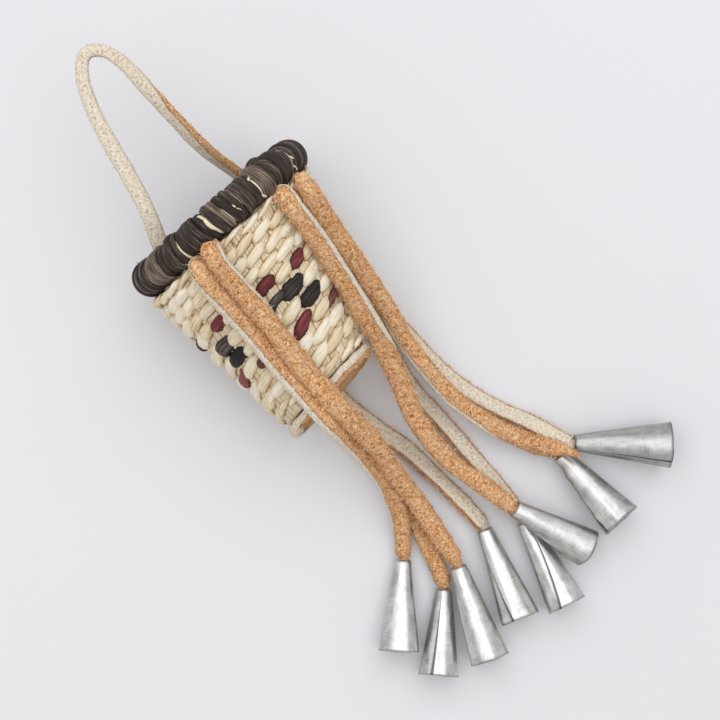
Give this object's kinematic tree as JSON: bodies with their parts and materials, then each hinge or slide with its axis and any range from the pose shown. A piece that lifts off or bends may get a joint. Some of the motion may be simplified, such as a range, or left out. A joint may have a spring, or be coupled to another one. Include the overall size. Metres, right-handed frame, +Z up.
{
  "type": "burden basket",
  "caption": "Small twined burden basket with a dark wound rim, a lace handle, a leather base and leather tassels that end in rolled tin cones.",
  "frame": {"origin": "on the surface it lies on, under the middle of the basket and its handle", "axes": "+X from the handle past the rim to the leather base and the tassels, +Z up from the surface"},
  "size_m": [0.1505, 0.0783, 0.0417],
  "materials": {
    "straw": "twined pale splint",
    "wood": "bare",
    "dark_splint": "dark bark strip",
    "leather": "suede",
    "tin": "bright tin plate"
  },
  "bodies": {
    "basket": {"basket_wall": "straw", "rim_hoop": "wood", "rim_wrap": "dark_splint", "base_leather": "leather", "front_left_fold": "leather", "front_right_fold": "leather", "back_left_fold": "leather", "back_right_fold": "leather", "handle_end_left": "leather", "handle_end_right": "leather"},
    "handle": {"handle_lace": "leather"},
    "front_left_outer_tassel": {"front_left_outer_lace": "leather", "front_left_outer_knot": "leather"},
    "front_left_outer_jingle": {"front_left_outer_cone": "tin"},
    "front_left_inner_tassel": {"front_left_inner_lace": "leather", "front_left_inner_knot": "leather"},
    "front_left_inner_jingle": {"front_left_inner_cone": "tin"},
    "front_right_inner_tassel": {"front_right_inner_lace": "leather", "front_right_inner_knot": "leather"},
    "front_right_inner_jingle": {"front_right_inner_cone": "tin"},
    "front_right_outer_tassel": {"front_right_outer_lace": "leather", "front_right_outer_knot": "leather"},
    "front_right_outer_jingle": {"front_right_outer_cone": "tin"},
    "back_left_outer_tassel": {"back_left_outer_lace": "leather", "back_left_outer_knot": "leather"},
    "back_left_outer_jingle": {"back_left_outer_cone": "tin"},
    "back_left_inner_tassel": {"back_left_inner_lace": "leather", "back_left_inner_knot": "leather"},
    "back_left_inner_jingle": {"back_left_inner_cone": "tin"},
    "back_right_inner_tassel": {"back_right_inner_lace": "leather", "back_right_inner_knot": "leather"},
    "back_right_inner_jingle": {"back_right_inner_cone": "tin"},
    "back_right_outer_tassel": {"back_right_outer_lace": "leather", "back_right_outer_knot": "leather"},
    "back_right_outer_jingle": {"back_right_outer_cone": "tin"}
  },
  "joints": [
    {"name": "handle_swing", "type": "hinge", "parent": "basket", "child": "handle", "pos_m": [-0.00489, -0.00174, 0.01778], "axis": [-0.0657, 0.8482, -0.5256], "range_deg": [-70, 55]},
    {"name": "front_left_outer_lift", "type": "hinge", "parent": "basket", "child": "front_left_outer_tassel", "pos_m": [0.00946, -0.00921, 0.04039], "axis": [0, -1, 0], "range_deg": [0, 70]},
    {"name": "front_left_outer_spin", "type": "hinge", "parent": "front_left_outer_tassel", "child": "front_left_outer_jingle", "pos_m": [0.0768, -0.0185, 0.0021], "axis": [0.7163, -0.6845, 0.1357], "continuous": true},
    {"name": "front_left_inner_lift", "type": "hinge", "parent": "basket", "child": "front_left_inner_tassel", "pos_m": [0.0095, -0.00543, 0.04145], "axis": [0, -1, 0], "range_deg": [0, 70]},
    {"name": "front_left_inner_spin", "type": "hinge", "parent": "front_left_inner_tassel", "child": "front_left_inner_jingle", "pos_m": [0.0852, -0.0105, 0.0039], "axis": [0.9266, -0.3744, 0.0348], "continuous": true},
    {"name": "front_right_inner_lift", "type": "hinge", "parent": "basket", "child": "front_right_inner_tassel", "pos_m": [0.00877, 0.01205, 0.03739], "axis": [0, -1, 0], "range_deg": [0, 70]},
    {"name": "front_right_inner_spin", "type": "hinge", "parent": "front_right_inner_tassel", "child": "front_right_inner_jingle", "pos_m": [0.0832, 0.0067, 0.0076], "axis": [0.9209, 0.3443, -0.1828], "continuous": true},
    {"name": "front_right_outer_lift", "type": "hinge", "parent": "basket", "child": "front_right_outer_tassel", "pos_m": [0.0083, 0.01606, 0.0334], "axis": [0, -1, 0], "range_deg": [0, 70]},
    {"name": "front_right_outer_spin", "type": "hinge", "parent": "front_right_outer_tassel", "child": "front_right_outer_jingle", "pos_m": [0.0818, 0.0216, 0.0023], "axis": [0.9902, 0.0173, 0.1385], "continuous": true},
    {"name": "back_left_outer_lift", "type": "hinge", "parent": "basket", "child": "back_left_outer_tassel", "pos_m": [0.0061, -0.01653, 0.00113], "axis": [0, 1, 0], "range_deg": [0, 60]},
    {"name": "back_left_outer_spin", "type": "hinge", "parent": "back_left_outer_tassel", "child": "back_left_outer_jingle", "pos_m": [0.0871, -0.0161, 0.0021], "axis": [0.7001, -0.7001, 0.1399], "continuous": true},
    {"name": "back_left_inner_lift", "type": "hinge", "parent": "basket", "child": "back_left_inner_tassel", "pos_m": [0.0061, -0.01303, 0.00113], "axis": [0, 1, 0], "range_deg": [0, 60]},
    {"name": "back_left_inner_spin", "type": "hinge", "parent": "back_left_inner_tassel", "child": "back_left_inner_jingle", "pos_m": [0.0832, -0.0012, 0.0021], "axis": [0.9358, -0.3295, 0.1254], "continuous": true},
    {"name": "back_right_inner_lift", "type": "hinge", "parent": "basket", "child": "back_right_inner_tassel", "pos_m": [0.00561, 0.01038, 0.00119], "axis": [0, 1, 0], "range_deg": [0, 60]},
    {"name": "back_right_inner_spin", "type": "hinge", "parent": "back_right_inner_tassel", "child": "back_right_inner_jingle", "pos_m": [0.0875, 0.0063, 0.0021], "axis": [0.9604, -0.2466, 0.1297], "continuous": true},
    {"name": "back_right_outer_lift", "type": "hinge", "parent": "basket", "child": "back_right_outer_tassel", "pos_m": [0.00561, 0.01387, 0.00119], "axis": [0, 1, 0], "range_deg": [0, 60]},
    {"name": "back_right_outer_spin", "type": "hinge", "parent": "back_right_outer_tassel", "child": "back_right_outer_jingle", "pos_m": [0.0815, 0.0252, 0.0046], "axis": [0.6686, 0.7425, 0.0404], "continuous": true}
  ]
}
